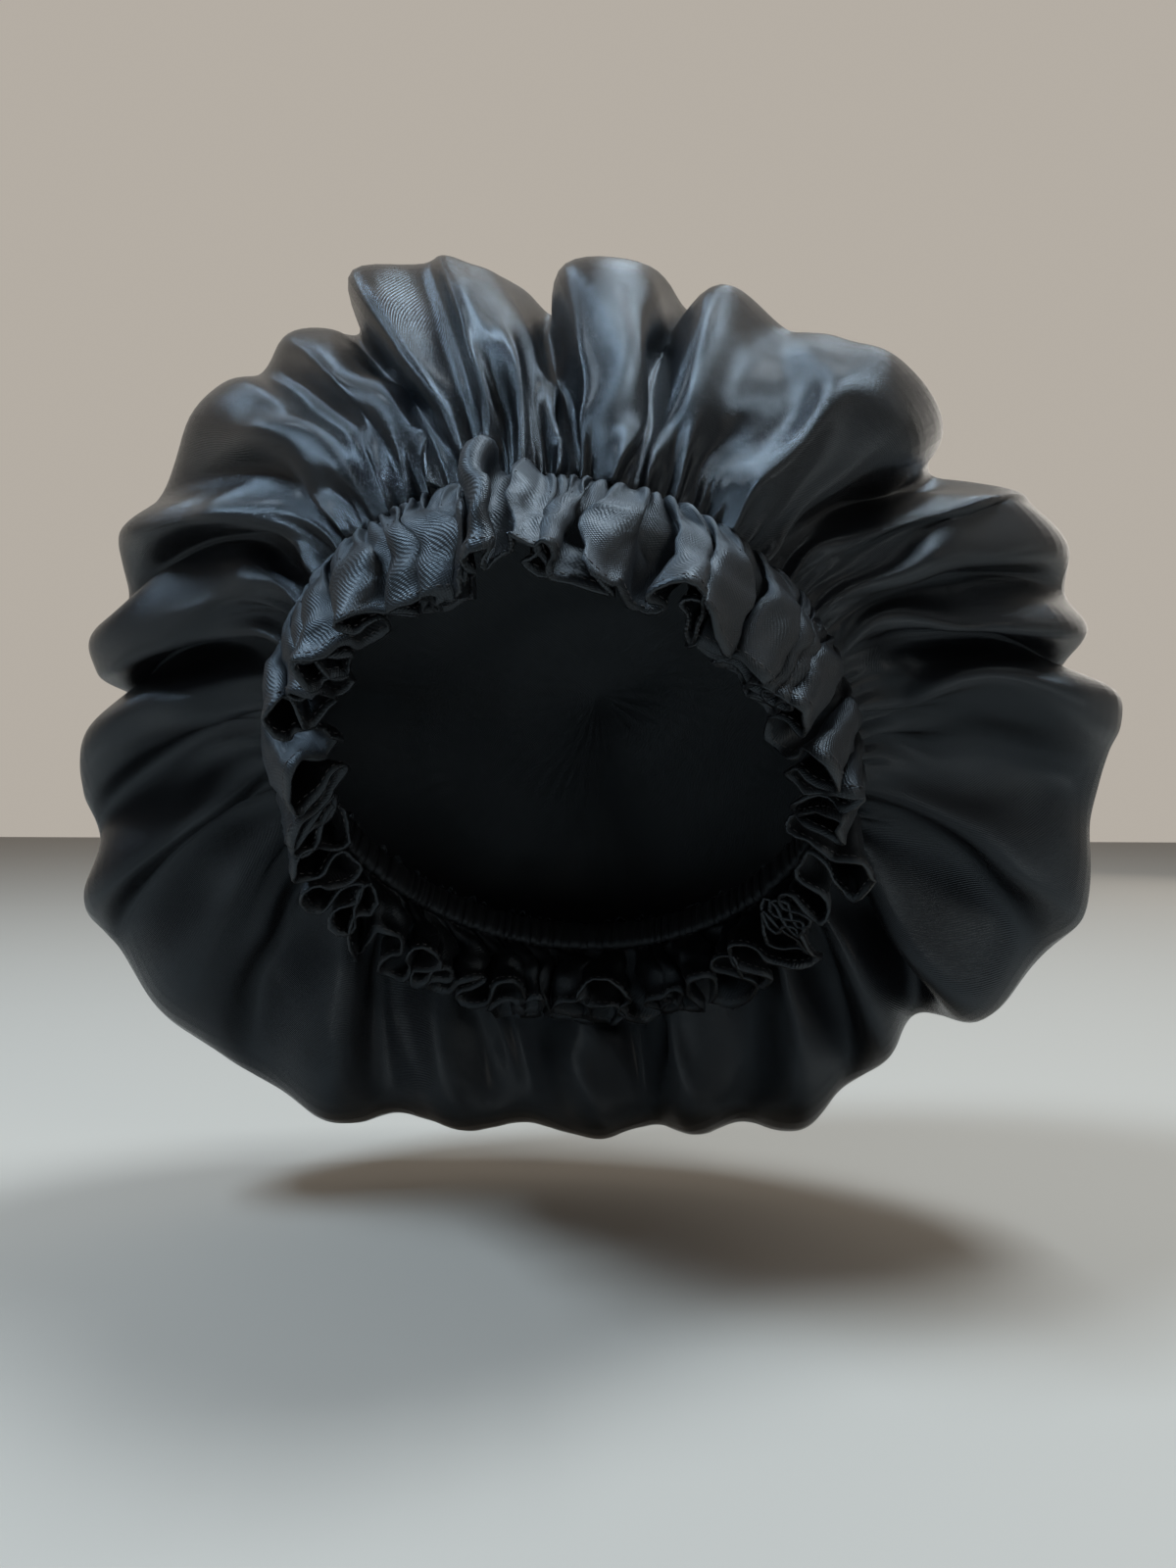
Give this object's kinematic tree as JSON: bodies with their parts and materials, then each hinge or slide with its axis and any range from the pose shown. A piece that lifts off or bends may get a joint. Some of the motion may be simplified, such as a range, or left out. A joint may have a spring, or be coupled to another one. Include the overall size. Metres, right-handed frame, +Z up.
{
  "type": "sleep bonnet",
  "caption": "Large gathered satin sleep bonnet in its worn form: puffed, folded crown on an elastic casing, with a short ruffle round the head opening.",
  "frame": {"origin": "middle of the head opening, on the plane of the elastic's line", "axes": "+Z up as worn, -Y to the front of the wearer's head, +X to the right of someone who looks at the front"},
  "size_m": [0.366, 0.2277, 0.3197],
  "materials": {
    "satin": "black polyester satin, soft sheen",
    "elastic_band": "matt black woven elastic"
  },
  "bodies": {
    "root": {"crown": "satin", "elastic_casing": "satin", "ruffle": "satin", "elastic": "elastic_band"}
  },
  "joints": []
}
